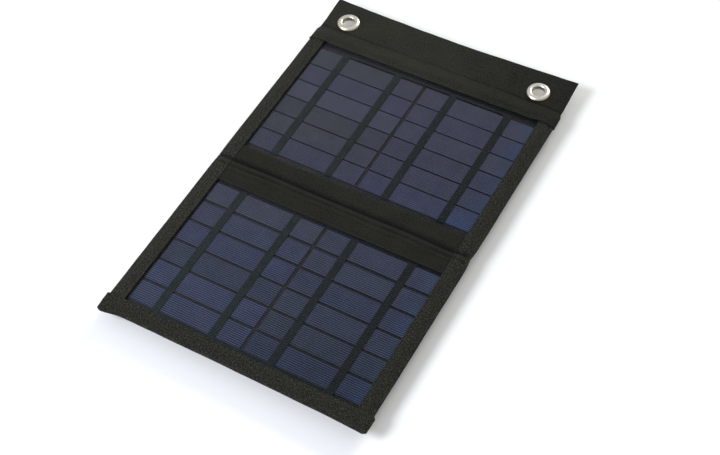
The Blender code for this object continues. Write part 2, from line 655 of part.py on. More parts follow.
def main():
    for old in list(bpy.data.objects):
        bpy.data.objects.remove(old, do_unlink=True)
    finishes = {
        "cloth": material("black_cloth", (0.022, 0.021, 0.016), 0.85),
        "tape": material("black_tape", (0.019, 0.018, 0.014), 0.9),
        "board": material("grey_board", (0.18, 0.17, 0.15), 0.7),
        "backsheet": material("black_backsheet", (0.03, 0.031, 0.026), 0.5),
        "cell": material("silicon_cell", (0.06, 0.062, 0.11), 0.35, 0.2),
        "ribbon": material("black_ribbon", (0.028, 0.029, 0.025), 0.5, 0.3),
        "film": material("clear_film", (0.5, 0.52, 0.55), 0.25, 0.0, 0.15),
        "eyelet": material("nickel", (0.78, 0.76, 0.70), 0.18, 1.0),
        "cable": material("cable_black", (0.02, 0.02, 0.02), 0.5),
        "box": material("box_plastic", (0.03, 0.03, 0.03), 0.45),
        "pcb": material("circuit_green", (0.02, 0.12, 0.05), 0.5),
        "inductor": material("ferrite", (0.08, 0.08, 0.085), 0.6),
        "chip": material("chip_black", (0.015, 0.015, 0.015), 0.4),
        "capacitor": material("capacitor_case", (0.55, 0.35, 0.10), 0.4),
        "steel": material("plated_steel", (0.62, 0.62, 0.62), 0.3, 1.0),
        "tongue": material("socket_tongue", (0.85, 0.85, 0.83), 0.5),
    }
    upper_pivot = pivot_empty("upper_half_frame", world(0, 0, FOLD_AXIS_Z, UPPER))
    lower_pivot = pivot_empty("fold_axis", world(0, 0, FOLD_AXIS_Z, LOWER))
    flap_pivot = pivot_empty("flap_axis", world(0, FLAP_AXIS_S, FLAP_Z, UPPER))
    make_upper_half(finishes, upper_pivot)
    make_lower_half(finishes, lower_pivot)
    make_cables(finishes["cable"], upper_pivot, lower_pivot)
    make_regulator(finishes, lower_pivot)
    make_flap(finishes["cloth"], flap_pivot)
    make_eyelets(finishes["eyelet"], flap_pivot)


main()
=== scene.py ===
"""The looks of a folding camping solar panel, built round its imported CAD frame.

The cloth, the tape bindings, the clear films, the eyelets with their washers, the stitches and the
link cable are new pieces. The cells, ribbons, backsheets, boards, the panel cable and the regulator box
with what it holds are the CAD solids with finer materials.

Lengths are in millimetres in the frame's own axes, and MM turns them into metres. X runs across the
panel, +Y towards the flap, and +Z out of the cell side.
"""
import json
import math

import bpy
import numpy as np
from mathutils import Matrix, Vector, noise


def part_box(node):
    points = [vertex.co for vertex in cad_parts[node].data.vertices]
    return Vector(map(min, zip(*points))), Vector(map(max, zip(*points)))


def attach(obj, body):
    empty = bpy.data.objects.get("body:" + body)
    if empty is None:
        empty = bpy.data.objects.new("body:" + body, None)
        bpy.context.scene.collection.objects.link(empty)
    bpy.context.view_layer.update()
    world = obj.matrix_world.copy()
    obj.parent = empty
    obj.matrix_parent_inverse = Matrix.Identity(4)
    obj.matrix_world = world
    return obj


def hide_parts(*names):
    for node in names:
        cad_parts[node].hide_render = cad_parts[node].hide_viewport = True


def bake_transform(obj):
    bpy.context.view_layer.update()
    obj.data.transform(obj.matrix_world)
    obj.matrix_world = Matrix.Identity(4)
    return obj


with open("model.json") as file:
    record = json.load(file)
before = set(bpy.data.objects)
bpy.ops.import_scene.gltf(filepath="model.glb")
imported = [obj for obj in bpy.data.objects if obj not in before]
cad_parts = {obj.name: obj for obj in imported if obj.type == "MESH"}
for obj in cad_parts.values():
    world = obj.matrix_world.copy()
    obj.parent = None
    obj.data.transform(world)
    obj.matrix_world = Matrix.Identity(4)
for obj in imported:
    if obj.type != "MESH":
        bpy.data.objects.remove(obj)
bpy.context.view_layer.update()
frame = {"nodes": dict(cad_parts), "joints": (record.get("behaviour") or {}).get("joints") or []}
MM = 0.001


def low(node):
    """The lowest corner of a CAD node's box, in millimetres."""
    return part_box(node)[0] / MM


def high(node):
    """The highest corner of a CAD node's box, in millimetres."""
    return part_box(node)[1] / MM


# ---- places that come from the frame ----
JOINT_PLACES = {joint["name"]: Vector(joint["pos_m"]) / MM for joint in frame["joints"]}
FOLD_Y = JOINT_PLACES["fold"].y
FLAP_AXIS_Y = JOINT_PLACES["flap_hinge"].y
FLAP_MIDDLE_Z = JOINT_PLACES["flap_hinge"].z
EDGE_X = high("lower_right_binding").x                 # outer edge of the side bindings
WINDOW_X = (high("lower_left_binding").x, low("lower_right_binding").x)
LOWER_WINDOW_Y = (high("bottom_binding").y, low("lower_fold_cloth").y)
UPPER_WINDOW_Y = (high("upper_fold_cloth").y, low("top_sleeve").y)
BOTTOM_Y = low("bottom_binding").y
FRONT_Z = high("upper_fold_cloth").z                   # front of the cloth round the windows
REAR_Z = low("upper_left_binding").z                   # rear of the bindings
MIDDLE_Z = (FRONT_Z + REAR_Z) / 2
SLEEVE_FRONT_Z = high("top_sleeve").z
FLAP_END_Y = high("flap_cloth").y
BACK_Z = (low("upper_back_cloth").z, high("upper_back_cloth").z)

TAPE = 0.6                       # thickness of the binding tape
TAPE_HALF = MIDDLE_Z - REAR_Z - TAPE / 2       # from the panel's middle to the middle of a tape's layer
REAR_TAPE_WIDTH = 10.0           # of the side tapes, on the rear
CLOTH = 0.45                     # thickness of the cloth
FINGER_PITCH = 1.4               # between the silver lines on a cell
CELLS_PER_HALF = 12


# ---- helpers: numbers ----
def spread(start, end, step):
    """Evenly spaced numbers from start to end, about step apart."""
    count = max(1, round(abs(end - start) / step))
    return [start + (end - start) * i / count for i in range(count + 1)]


def smooth(value, start, end):
    """0 before start, 1 after end, and a smooth step between."""
    t = min(1.0, max(0.0, (value - start) / (end - start)))
    return t * t * (3 - 2 * t)


def hump(distance, width):
    """A bell of height 1."""
    return math.exp(-(distance / width) ** 2)


def wander(x, y, scale, seed):
    """Smooth noise between about -1 and 1, with features of about scale."""
    return noise.noise(Vector((x / scale, y / scale, seed * 7.31)))


# ---- helpers: meshes ----
# Each piece's tone. The right tape's lower tone is painted shade, on the side away from the light.
PIECE_TONES = {"fold_band": 0.72, "right_tape": 0.78, "bottom_tape": 0.80, "top_cloth": 1.05}
PLAIN_TONE = 0.88                # of every other new piece
RIM_REACH = 0.42                 # how far a sheet's rounded edge stands out, as a part of its thickness


def mesh_piece(name, points, faces, lay, finish):
    """A shown mesh from points in millimetres. lay is each point's place on the flat cloth, which the
    materials read, so that the weave follows the cloth wherever it bends."""
    mesh = bpy.data.meshes.new(name)
    mesh.from_pydata((np.asarray(points) * MM).tolist(), [], [list(map(int, f)) for f in faces])
    mesh.update()
    stored = mesh.attributes.new("lay", "FLOAT_VECTOR", "POINT")
    stored.data.foreach_set("vector", (np.asarray(lay) * MM).astype(np.float32).ravel())
    mesh.shade_smooth()
    mesh.materials.append(finish)
    made = add_object(name, mesh)
    tone = PIECE_TONES.get(name, PLAIN_TONE)
    made.color = (tone, tone, tone, 1.0)
    return made


def add_object(name, data):
    made = bpy.data.objects.new(name, data)
    bpy.context.scene.collection.objects.link(made)
    return made


def boundary_edges(quads):
    """Directed edges that only one quad has, with that quad."""
    owners = {}
    for quad in quads:
        for i in range(4):
            owners[(quad[i], quad[(i + 1) % 4])] = quad
    return [(p, q, quad) for (p, q), quad in owners.items() if (q, p) not in owners]


def thick_sheet(name, grid, lay, thickness, finish, keep=None):
    """A closed sheet of cloth whose middle is a grid of points, with rounded edges.
    keep says which of the grid's quads are cloth, where it has a hole."""
    grid = np.array(grid, float)
    rows, columns = grid.shape[:2]
    normal = np.cross(np.gradient(grid, axis=0), np.gradient(grid, axis=1))
    normal /= np.linalg.norm(normal, axis=2, keepdims=True)
    middle, normal = grid.reshape(-1, 3), normal.reshape(-1, 3)
    index = np.arange(rows * columns).reshape(rows, columns)
    quads = np.stack([index[:-1, :-1], index[1:, :-1], index[1:, 1:], index[:-1, 1:]], -1)
    quads = quads.reshape(-1, 4) if keep is None else quads[np.array(keep, bool)]
    quads = [tuple(map(int, quad)) for quad in quads]
    count = len(middle)
    faces = list(quads) + [tuple(i + count for i in reversed(quad)) for quad in quads]
    edges = boundary_edges(quads)
    outward = {}
    for p, q, quad in edges:
        away = np.cross(middle[q] - middle[p], normal[p])
        for corner in (p, q):
            outward[corner] = outward.get(corner, 0.0) + away / np.linalg.norm(away)
    rim = {corner: 2 * count + i for i, corner in enumerate(outward)}
    rim_points = [middle[c] + way / max(np.linalg.norm(way), 1e-9) * thickness * RIM_REACH
                  for c, way in outward.items()]
    for p, q, _ in edges:
        faces.append((q, p, rim[p], rim[q]))
        faces.append((rim[q], rim[p], p + count, q + count))
    points = np.concatenate([middle + normal * thickness / 2, middle - normal * thickness / 2,
                             np.array(rim_points).reshape(-1, 3)])
    flat = np.array(lay, float).reshape(-1, 3)
    lays = np.concatenate([flat, flat, np.array([flat[c] for c in rim]).reshape(-1, 3)])
    used = sorted({i for face in faces for i in face})
    renumber = {old: new for new, old in enumerate(used)}
    return mesh_piece(name, points[used], [[renumber[i] for i in face] for face in faces], lays[used],
                      finish)


def arc_length(path):
    """Distance along a list of points, at each of them."""
    steps = np.linalg.norm(np.diff(np.array(path, float), axis=0), axis=1)
    return np.concatenate([[0.0], np.cumsum(steps)])


def turned(name, centre, profile, finish, steps=96):
    """A closed (radius, height) outline turned about the upright line through centre."""
    points, faces, count = [], [], len(profile)
    for i in range(steps):
        angle = 2 * math.pi * i / steps
        points += [(centre.x + r * math.cos(angle), centre.y + r * math.sin(angle), centre.z + h)
                   for r, h in profile]
    for i in range(steps):
        here, there = i * count, (i + 1) % steps * count
        for j in range(count):
            k = (j + 1) % count
            faces.append((here + j, there + j, there + k, here + k))
    lay = np.array(points) - np.array(centre)
    return mesh_piece(name, points, faces, lay, finish)


def rounded_loop(corners, rounds=2):
    """Cut a closed outline's corners rounds times, which turns it into a smooth curve."""
    for _ in range(rounds):
        cut = []
        for i, point in enumerate(corners):
            following = corners[(i + 1) % len(corners)]
            cut.append(tuple(0.75 * a + 0.25 * b for a, b in zip(point, following)))
            cut.append(tuple(0.25 * a + 0.75 * b for a, b in zip(point, following)))
        corners = cut
    return corners


# ---- helpers: materials ----
def new_material(name):
    made = bpy.data.materials.new(name)
    made.use_nodes = True
    return made, made.node_tree, made.node_tree.nodes["Principled BSDF"]


def node(tree, kind, values=None, **settings):
    """Add a node, set its properties, and set or link its inputs."""
    made = tree.nodes.new(kind)
    for key, value in settings.items():
        setattr(made, key, value)
    for key, value in (values or {}).items():
        if isinstance(value, bpy.types.NodeSocket):
            tree.links.new(value, made.inputs[key])
        else:
            made.inputs[key].default_value = value
    return made


def calc(tree, operation, a, b=0.0, c=0.0):
    """One arithmetic node's result."""
    return node(tree, "ShaderNodeMath", {0: a, 1: b, 2: c}, operation=operation).outputs[0]


def scaled(tree, value, gain, offset):
    """value * gain + offset."""
    return calc(tree, "MULTIPLY_ADD", value, gain, offset)


def ramp(tree, factor, stops):
    """Colours or greys along a factor. stops is a list of (place, colour)."""
    made = node(tree, "ShaderNodeValToRGB", {0: factor})
    elements = made.color_ramp.elements
    while len(elements) < len(stops):
        elements.new(0.5)
    for element, (place, colour) in zip(elements, stops):
        element.position = place
        element.color = (*colour, 1.0) if hasattr(colour, "__len__") else (colour, colour, colour, 1.0)
    return made.outputs["Color"]


def mix(tree, factor, a, b, blend="MIX"):
    made = node(tree, "ShaderNodeMix", {"Factor": factor}, data_type="RGBA", blend_type=blend)
    for socket, value in ((6, a), (7, b)):
        if isinstance(value, bpy.types.NodeSocket):
            tree.links.new(value, made.inputs[socket])
        else:
            made.inputs[socket].default_value = (*value, 1.0)
    return made.outputs[2]


def noise_value(tree, place, scale, detail=2.0, roughness=0.5):
    made = node(tree, "ShaderNodeTexNoise", {"Vector": place, "Scale": scale, "Detail": detail,
                                             "Roughness": roughness})
    return made.outputs["Fac"]


def laid_place(tree):
    """The cloth's own flat coordinates, in metres."""
    found = node(tree, "ShaderNodeAttribute", attribute_name="lay", attribute_type="GEOMETRY")
    return found.outputs["Vector"]


def solid_place(tree):
    return node(tree, "ShaderNodeTexCoord").outputs["Object"]


def split(tree, place):
    made = node(tree, "ShaderNodeSeparateXYZ", {0: place})
    return made.outputs[0], made.outputs[1], made.outputs[2]


def bump(tree, shader, height, distance, strength=1.0):
    made = node(tree, "ShaderNodeBump", {"Height": height, "Distance": distance, "Strength": strength})
    tree.links.new(made.outputs[0], shader.inputs["Normal"])


def ridge(tree, value, pitch):
    """Waves between 0 and 1 across value, one every pitch metres."""
    wave = calc(tree, "SINE", calc(tree, "MULTIPLY", value, 2 * math.pi / pitch))
    return scaled(tree, wave, 0.5, 0.5)


def weave_height(tree, place, pitch):
    u, v, _ = split(tree, place)
    across = calc(tree, "SINE", calc(tree, "MULTIPLY", u, math.pi / pitch))
    along = calc(tree, "SINE", calc(tree, "MULTIPLY", v, math.pi / pitch))
    checker = calc(tree, "GREATER_THAN", calc(tree, "MULTIPLY", across, along), 0.0)
    warp, weft = calc(tree, "ABSOLUTE", across), calc(tree, "ABSOLUTE", along)
    change = calc(tree, "SUBTRACT", warp, weft)
    return calc(tree, "MULTIPLY_ADD", change, checker, weft)


def surface(tree, shader, colour, grain, gain, least):
    """Link the colour, and a roughness that follows the grain from least up to least + gain."""
    tree.links.new(colour, shader.inputs["Base Color"])
    tree.links.new(scaled(tree, grain, gain, least), shader.inputs["Roughness"])


def cloth_gloss(shader):
    """Hardly any gloss, and a little sheen."""
    shader.inputs["Specular IOR Level"].default_value = 0.08
    shader.inputs["Sheen Weight"].default_value = 0.02
    shader.inputs["Sheen Roughness"].default_value = 0.5


def tone_of_piece(tree, colour):
    """The colour times the piece's tone, which is its object colour and for the right tape holds painted
    shade.
    """
    tone = node(tree, "ShaderNodeObjectInfo").outputs["Color"]
    return mix(tree, 1.0, colour, tone, "MULTIPLY")


def woven_cloth():
    """Fine black plain weave with an olive cast, slightly faded in patches, with painted shade in its
    creases and towards the right.
    """
    made, tree, shader = new_material("black_woven_cloth")
    place = laid_place(tree)
    threads = weave_height(tree, place, 0.0005)
    patches = noise_value(tree, place, 55.0, 3.0)
    grain = noise_value(tree, place, 1000.0, 2.0, 0.6)
    base = ramp(tree, patches, [(0.35, (0.0125, 0.0125, 0.0092)), (0.65, (0.0205, 0.0200, 0.0150))])
    mottle = ramp(tree, grain, [(0.38, 0.0), (0.62, 1.0)])
    light = mix(tree, calc(tree, "MULTIPLY", mottle, 0.55), base, (0.052, 0.051, 0.041))
    dark = mix(tree, scaled(tree, threads, -0.50, 0.50), light, (0.003, 0.003, 0.002))
    # The lay's third coordinate: above zero it is wear, below zero it is painted shade in creases.
    wear_and_shade = split(tree, place)[2]
    worn = mix(tree, calc(tree, "MULTIPLY", wear_and_shade, 1000.0), dark, (0.050, 0.048, 0.039))
    # Painted shade: near black in the bottom of creases.
    crease_shaded = mix(tree, calc(tree, "MULTIPLY", wear_and_shade, -1000.0), worn, (0.002, 0.002, 0.0015))
    # Painted shade: darker towards the right, where less light falls.
    painted_right_shade = ramp(tree, calc(tree, "MULTIPLY", split(tree, place)[0], 10.0), [(0.1, 1.0), (0.9, 0.84)])
    toned = mix(tree, 1.0, tone_of_piece(tree, crease_shaded), painted_right_shade, "MULTIPLY")
    surface(tree, shader, toned, grain, 0.12, 0.80)
    cloth_gloss(shader)
    uneven = scaled(tree, grain, 0.5, threads)
    bump(tree, shader, uneven, 0.00014, 0.9)
    return made


def twill_tape():
    """Coarse black tape: diagonal ribs broken into threads, with pale flecks, faded patches and painted
    shade in its creases.
    """
    made, tree, shader = new_material("black_twill_tape")
    place = laid_place(tree)
    # The lay's third coordinate: above zero it is wear, below zero it is painted shade in creases.
    u, v, wear_and_shade = split(tree, place)
    ribs = ridge(tree, calc(tree, "ADD", u, v), 0.0013)
    threads = ridge(tree, calc(tree, "SUBTRACT", u, v), 0.0008)
    height = scaled(tree, threads, 0.5, ribs)
    grain = ramp(tree, noise_value(tree, place, 1050.0, 2.0, 0.6), [(0.40, 0.0), (0.60, 1.0)])
    patches = noise_value(tree, place, 90.0, 3.0)
    flecks = ramp(tree, noise_value(tree, place, 1350.0, 1.0, 0.5), [(0.58, 0.0), (0.68, 1.0)])
    base = ramp(tree, patches, [(0.3, (0.0120, 0.0117, 0.0086)), (0.7, (0.0200, 0.0192, 0.0146))])
    shade = scaled(tree, height, -0.50, 0.72)
    dark = mix(tree, shade, base, (0.0015, 0.0015, 0.001))
    grainy = mix(tree, calc(tree, "MULTIPLY", grain, 0.62), dark, (0.052, 0.050, 0.041))
    flecked = mix(tree, calc(tree, "MULTIPLY", flecks, 0.60), grainy, (0.125, 0.120, 0.100))
    worn = mix(tree, calc(tree, "MULTIPLY", wear_and_shade, 1000.0), flecked, (0.055, 0.053, 0.044))
    # Painted shade: near black in the bottom of creases.
    crease_shaded = mix(tree, calc(tree, "MULTIPLY", wear_and_shade, -1000.0), worn, (0.002, 0.002, 0.0015))
    surface(tree, shader, tone_of_piece(tree, crease_shaded), grain, 0.15, 0.78)
    cloth_gloss(shader)
    bump(tree, shader, scaled(tree, grain, 0.8, height), 0.00025, 1.0)
    return made


def sewing_thread():
    """Black polyester thread, two strands twisted."""
    made, tree, shader = new_material("black_thread")
    place = laid_place(tree)
    u, v, _ = split(tree, place)
    twist = ridge(tree, calc(tree, "ADD", u, v), 0.0005)
    colour = ramp(tree, twist, [(0.0, (0.006, 0.006, 0.005)), (1.0, (0.022, 0.0215, 0.018))])
    surface(tree, shader, colour, twist, 0.15, 0.5)
    bump(tree, shader, twist, 0.00005)
    return made


GLINT_PLACE = (0.072, 0.004, 0.0117)       # a painted blue glint on the last cell beside the fold


def silicon():
    """Blue-violet silicon under fine silver finger lines that show most at the lower right. Painted
    reflection makes it greyer towards the upper left and washes the lines out there, painted shade darkens
    it to the right, and painted blue glints lie at the right ends."""
    made, tree, shader = new_material("blue_silicon")
    place = solid_place(tree)
    x, y, _ = split(tree, place)
    upward = scaled(tree, y, 4.24, 0.564)
    across = node(tree, "ShaderNodeClamp", {0: scaled(tree, x, 7.0, 0.5)}).outputs[0]
    # Painted reflection: greyer and paler towards the upper left. Painted shade: darker to the right.
    left = ramp(tree, upward, [(0.0, (0.0295, 0.0368, 0.0620)), (0.5, (0.0388, 0.0410, 0.0640)),
                               (1.0, (0.0430, 0.0452, 0.0640))])
    right = ramp(tree, upward, [(0.0, (0.0180, 0.0234, 0.0475)), (0.5, (0.0308, 0.0355, 0.0655)),
                                (1.0, (0.0320, 0.0330, 0.0540))])
    # Painted blue glints: a patch beside the fold, and patches at the right ends of the cells.
    middle = node(tree, "ShaderNodeVectorMath", {0: place, 1: GLINT_PLACE},
                  operation="DISTANCE").outputs["Value"]
    glint = ramp(tree, calc(tree, "MULTIPLY", middle, 50.0), [(0.1, 0.75), (0.8, 0.0)])
    end_glints = ramp(tree, calc(tree, "MULTIPLY", x, 10.0), [(0.68, 0.0), (0.79, 0.62)])
    uneven = ramp(tree, noise_value(tree, place, 45.0, 2.0), [(0.35, 0.0), (0.60, 1.0)])
    blue_glints = calc(tree, "MAXIMUM", glint, calc(tree, "MULTIPLY", end_glints, uneven))
    tinted = mix(tree, blue_glints, mix(tree, across, left, right), (0.022, 0.044, 0.094))
    tone = tone_of_piece(tree, tinted)
    mottle = noise_value(tree, place, 120.0, 4.0, 0.6)
    lines = ridge(tree, y, FINGER_PITCH * MM)
    # The finger lines show least towards the upper left, where the painted reflection washes them out.
    corner = scaled(tree, y, -4.2, scaled(tree, x, 2.0, 0.42))
    patchy = scaled(tree, noise_value(tree, place, 35.0, 2.0), 0.4, -0.2)
    lines_through_glare = node(tree, "ShaderNodeClamp", {0: calc(tree, "ADD", corner, patchy)}).outputs[0]
    contrast = calc(tree, "MULTIPLY", scaled(tree, lines, 1.6, -0.8), lines_through_glare)
    cloudy = scaled(tree, mottle, 0.5, 0.75)
    gain = calc(tree, "ADD", contrast, cloudy)
    drawn = node(tree, "ShaderNodeVectorMath", {0: tone, "Scale": gain}, operation="SCALE").outputs[0]
    surface(tree, shader, drawn, mottle, 0.2, 0.30)
    shader.inputs["Specular IOR Level"].default_value = 0.15
    bump(tree, shader, lines, 0.00002, 0.3)
    return made


# Painted light on the black laminate: paler and bluer towards the left, darker to the right.
LAMINATE_PAINTED_LIGHT = [(0.15, (2.05, 2.00, 2.80)), (0.40, (1.75, 1.74, 2.35)), (0.62, (1.27, 1.30, 2.00)),
                 (0.85, (0.88, 0.90, 1.25))]             # from the left edge to the right


def laminate_black(name, colour, other, roughness):
    """A black-coated sheet under the film, faintly mottled, with painted light that makes it paler and
    bluer to the left and darker to the right.
    """
    made, tree, shader = new_material(name)
    place = solid_place(tree)
    mottle = noise_value(tree, place, 160.0, 4.0, 0.6)
    across = scaled(tree, split(tree, place)[0], 6.0, 0.5)
    black = ramp(tree, mottle, [(0.3, colour), (0.7, other)])
    painted_lit = mix(tree, 1.0, black, ramp(tree, across, LAMINATE_PAINTED_LIGHT), "MULTIPLY")
    surface(tree, shader, painted_lit, mottle, 0.2, roughness)
    shader.inputs["Specular IOR Level"].default_value = 0.15
    bump(tree, shader, mottle, 0.00003, 0.3)
    return made


def clear_film():
    """A satin laminate film: nearly clear, with a soft sheen and a fine embossed grain."""
    made, tree, shader = new_material("clear_satin_film")
    place = laid_place(tree)
    grain = noise_value(tree, place, 900.0, 2.0)
    haze = noise_value(tree, place, 40.0, 3.0)
    colour = ramp(tree, haze, [(0.3, (0.03, 0.031, 0.036)), (0.7, (0.05, 0.052, 0.06))])
    surface(tree, shader, colour, grain, 0.1, 0.26)
    shader.inputs["Alpha"].default_value = 0.03
    shader.inputs["Specular IOR Level"].default_value = 0.1
    bump(tree, shader, haze, 0.00005, 0.3)
    return made


def nickel():
    """Bright plated brass: fine scratches, with tarnish in the bore and under the rim."""
    made, tree, shader = new_material("bright_nickel")
    place = laid_place(tree)
    x, y, _ = split(tree, place)
    level = node(tree, "ShaderNodeCombineXYZ", {0: x, 1: y}).outputs[0]
    radius = node(tree, "ShaderNodeVectorMath", {0: level}, operation="LENGTH").outputs["Value"]
    tarnish = ramp(tree, calc(tree, "MULTIPLY", radius, 100.0),
                   [(0.41, (0.50, 0.47, 0.40)), (0.47, (0.96, 0.94, 0.90)), (0.70, (0.98, 0.97, 0.93)),
                    (0.77, (0.50, 0.43, 0.29))])
    stain = noise_value(tree, place, 300.0, 4.0)
    plated = ramp(tree, stain, [(0.3, (0.84, 0.80, 0.70)), (0.7, (0.97, 0.96, 0.92))])
    scratch = noise_value(tree, place, 2600.0, 2.0)
    surface(tree, shader, mix(tree, 1.0, tarnish, plated, "MULTIPLY"), scratch, 0.18, 0.22)
    shader.inputs["Metallic"].default_value = 1.0
    bump(tree, shader, scratch, 0.00001, 0.3)
    return made


def moulded_plastic(name, colour, other, roughness, grain_scale=1500.0, place_of=solid_place):
    """Moulded plastic with a fine spark-eroded grain and slightly uneven gloss."""
    made, tree, shader = new_material(name)
    place = place_of(tree)
    grain = noise_value(tree, place, grain_scale, 2.0, 0.6)
    cloud = noise_value(tree, place, 70.0, 3.0)
    surface(tree, shader, ramp(tree, cloud, [(0.3, colour), (0.7, other)]), grain, 0.2, roughness)
    bump(tree, shader, grain, 0.00005, 0.5)
    return made


def brushed_metal(name, colour, other, roughness):
    made, tree, shader = new_material(name)
    place = solid_place(tree)
    stretched = node(tree, "ShaderNodeMapping", {"Vector": place, "Scale": (1.0, 14.0, 14.0)}).outputs[0]
    brush = noise_value(tree, stretched, 400.0, 3.0)
    surface(tree, shader, ramp(tree, brush, [(0.3, colour), (0.7, other)]), brush, 0.2, roughness)
    shader.inputs["Metallic"].default_value = 1.0
    bump(tree, shader, brush, 0.00001, 0.3)
    return made


# ---- camera, floor and light ----
def make_camera():
    data = bpy.data.cameras.new("camera")
    data.lens = 70.25
    data.sensor_width = 36.0
    data.clip_start = 0.01
    data.clip_end = 20.0
    made = add_object("camera", data)
    made.location = (0.3014, -0.45085, 0.6951)
    made.rotation_euler = [math.radians(a) for a in (36.81, 3.00, 29.37)]
    bpy.context.scene.camera = made


def make_floor():
    """A plain pale table top."""
    finish, tree, shader = new_material("pale_table")
    place = solid_place(tree)
    tone = noise_value(tree, place, 3.0, 3.0)
    tree.links.new(ramp(tree, tone, [(0.3, (0.89, 0.895, 0.91)), (0.7, (0.92, 0.92, 0.93))]),
                   shader.inputs["Base Color"])
    shader.inputs["Roughness"].default_value = 0.6
    shader.inputs["Specular IOR Level"].default_value = 0.2
    half = 2.0
    mesh = bpy.data.meshes.new("table_top")
    mesh.from_pydata([(-half, -half, 0), (half, -half, 0), (half, half, 0), (-half, half, 0)], [],
                     [(0, 1, 2, 3)])
    mesh.materials.append(finish)
    floor = add_object("table_top", mesh)


def area_light(name, place, size, power, colour):
    data = bpy.data.lights.new(name, "AREA")
    data.shape = "DISK"
    data.size = size
    data.energy = power
    data.color = colour
    made = add_object(name, data)
    made.location = place
    made.rotation_euler = (-Vector(place)).to_track_quat("-Z", "Y").to_euler()


def make_light():
    world = bpy.data.worlds.new("pale_studio")
    world.use_nodes = True
    background = world.node_tree.nodes["Background"]
    background.inputs["Color"].default_value = (0.92, 0.95, 0.99, 1.0)
    background.inputs["Strength"].default_value = 0.56
    bpy.context.scene.world = world
    bpy.context.scene.view_settings.view_transform = "Standard"
    area_light("key_light", (-0.75, -0.95, 1.20), 0.7, 21.5, (0.92, 0.96, 1.0))
    area_light("back_light", (0.35, 1.60, 0.95), 0.7, 17.2, (1.0, 0.955, 0.83))


# ---- cloth pieces ----
UNDER_TAPE = 1.4                 # how far the band runs under the side tapes
# The creases along the fold: place above it, depth and width.
CREASES = ((0.0, 1.45, 1.9), (-2.9, -0.35, 1.1), (-4.9, 0.42, 1.2), (-7.0, -0.15, 1.0), (-9.0, 0.22, 1.1))


def crease_distance(x, y, place):
    """Distance from the wavy crease at place."""
    return y - FOLD_Y - place - 0.9 * wander(x, place, 32.0, 4)


def painted_crease_shade(x, y):
    """Painted shade: how much darker the cloth is painted in the bottom of a crease."""
    return sum(0.5 * depth * hump(crease_distance(x, y, place), 0.75 * width)
               for place, depth, width in CREASES)


def band_height(x, y):
    """Middle of the cloth over the fold: creased along it, and lower where the side tapes cover it."""
    edge = min(x - WINDOW_X[0], WINDOW_X[1] - x)
    hem = min(y - LOWER_WINDOW_Y[1], UPPER_WINDOW_Y[0] - y)
    height = FRONT_Z - CLOTH / 2
    height -= 0.42 * (1 - smooth(edge, 0.2, 2.2))
    height -= 0.38 * (1 - smooth(hem, 0.0, 4.5)) * smooth(edge, 0.5, 3.0)
    inner = smooth(edge, -0.5, 3.5)
    for place, depth, width in CREASES:
        wave = 1 + (0.25 if place == 0 else 1.1) * wander(x, place, 24.0, 3)
        height -= depth * wave * hump(crease_distance(x, y, place), width) * inner
    height += 0.16 * wander(x, y * 1.8, 20.0, 5) * inner + 0.07 * wander(x, y, 6.0, 6) * inner
    return height


def make_fold_band(finish):
    xs = spread(WINDOW_X[0] - UNDER_TAPE, WINDOW_X[1] + UNDER_TAPE, 1.0)
    ys = spread(LOWER_WINDOW_Y[1] + 0.05, UPPER_WINDOW_Y[0] - 0.05, 0.5)
    grid = [[(x, y, band_height(x, y)) for y in ys] for x in xs]
    hem_wear = [0.25 * hump(min(y - ys[0], ys[-1] - y), 0.7) for y in ys]
    lay = [[(x, y, wear_and_shade - painted_crease_shade(x, y)) for y, wear_and_shade in zip(ys, hem_wear)] for x in xs]
    piece = thick_sheet("fold_band", grid, lay, CLOTH, finish)
    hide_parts("upper_fold_cloth", "lower_fold_cloth")
    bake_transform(piece)


def make_back_cloth(finish):
    left, right = low("upper_back_cloth").x, high("upper_back_cloth").x
    start, end = low("lower_back_cloth").y, high("upper_back_cloth").y
    hole_x, hole_y = 2.2, (FOLD_Y - 19.2, FOLD_Y - 12.2)      # where the cable comes through
    middle = sum(BACK_Z) / 2
    xs = spread(left, right, 1.5)
    ys = spread(start, end, 1.2)

    def height(x, y):
        slack = 0.9 * hump(y - FOLD_Y, 3.6) * (1 + 0.3 * wander(x, 0.0, 25.0, 11))
        return middle - slack + 0.05 * wander(x, y, 18.0, 12)

    grid = [[(x, y, height(x, y)) for y in ys] for x in xs]
    lay = [[(x, y, 0.0) for y in ys] for x in xs]
    keep = [[not (abs((xs[i] + xs[i + 1]) / 2) < hole_x and hole_y[0] < (ys[j] + ys[j + 1]) / 2 < hole_y[1])
             for j in range(len(ys) - 1)] for i in range(len(xs) - 1)]
    piece = thick_sheet("back_cloth", grid, lay, BACK_Z[1] - BACK_Z[0], finish, keep)
    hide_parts("upper_back_cloth", "lower_back_cloth")
    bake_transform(piece)


# ---- tape bindings ----
EDGE_DEPTH = 5.2                 # from the edge to where the tape lies flat
EDGE_ROUND = 1.25                # radius of the middle of the tape where it turns round the edge
FLAT_REACH = 2.25                # half of what the tape spans from front to rear, at its middle
STITCH_INSET = 1.7               # from the tape's inner edge to its stitches
LESSER_CREASE = 4.8              # how far below the fold the side tapes crease a second time


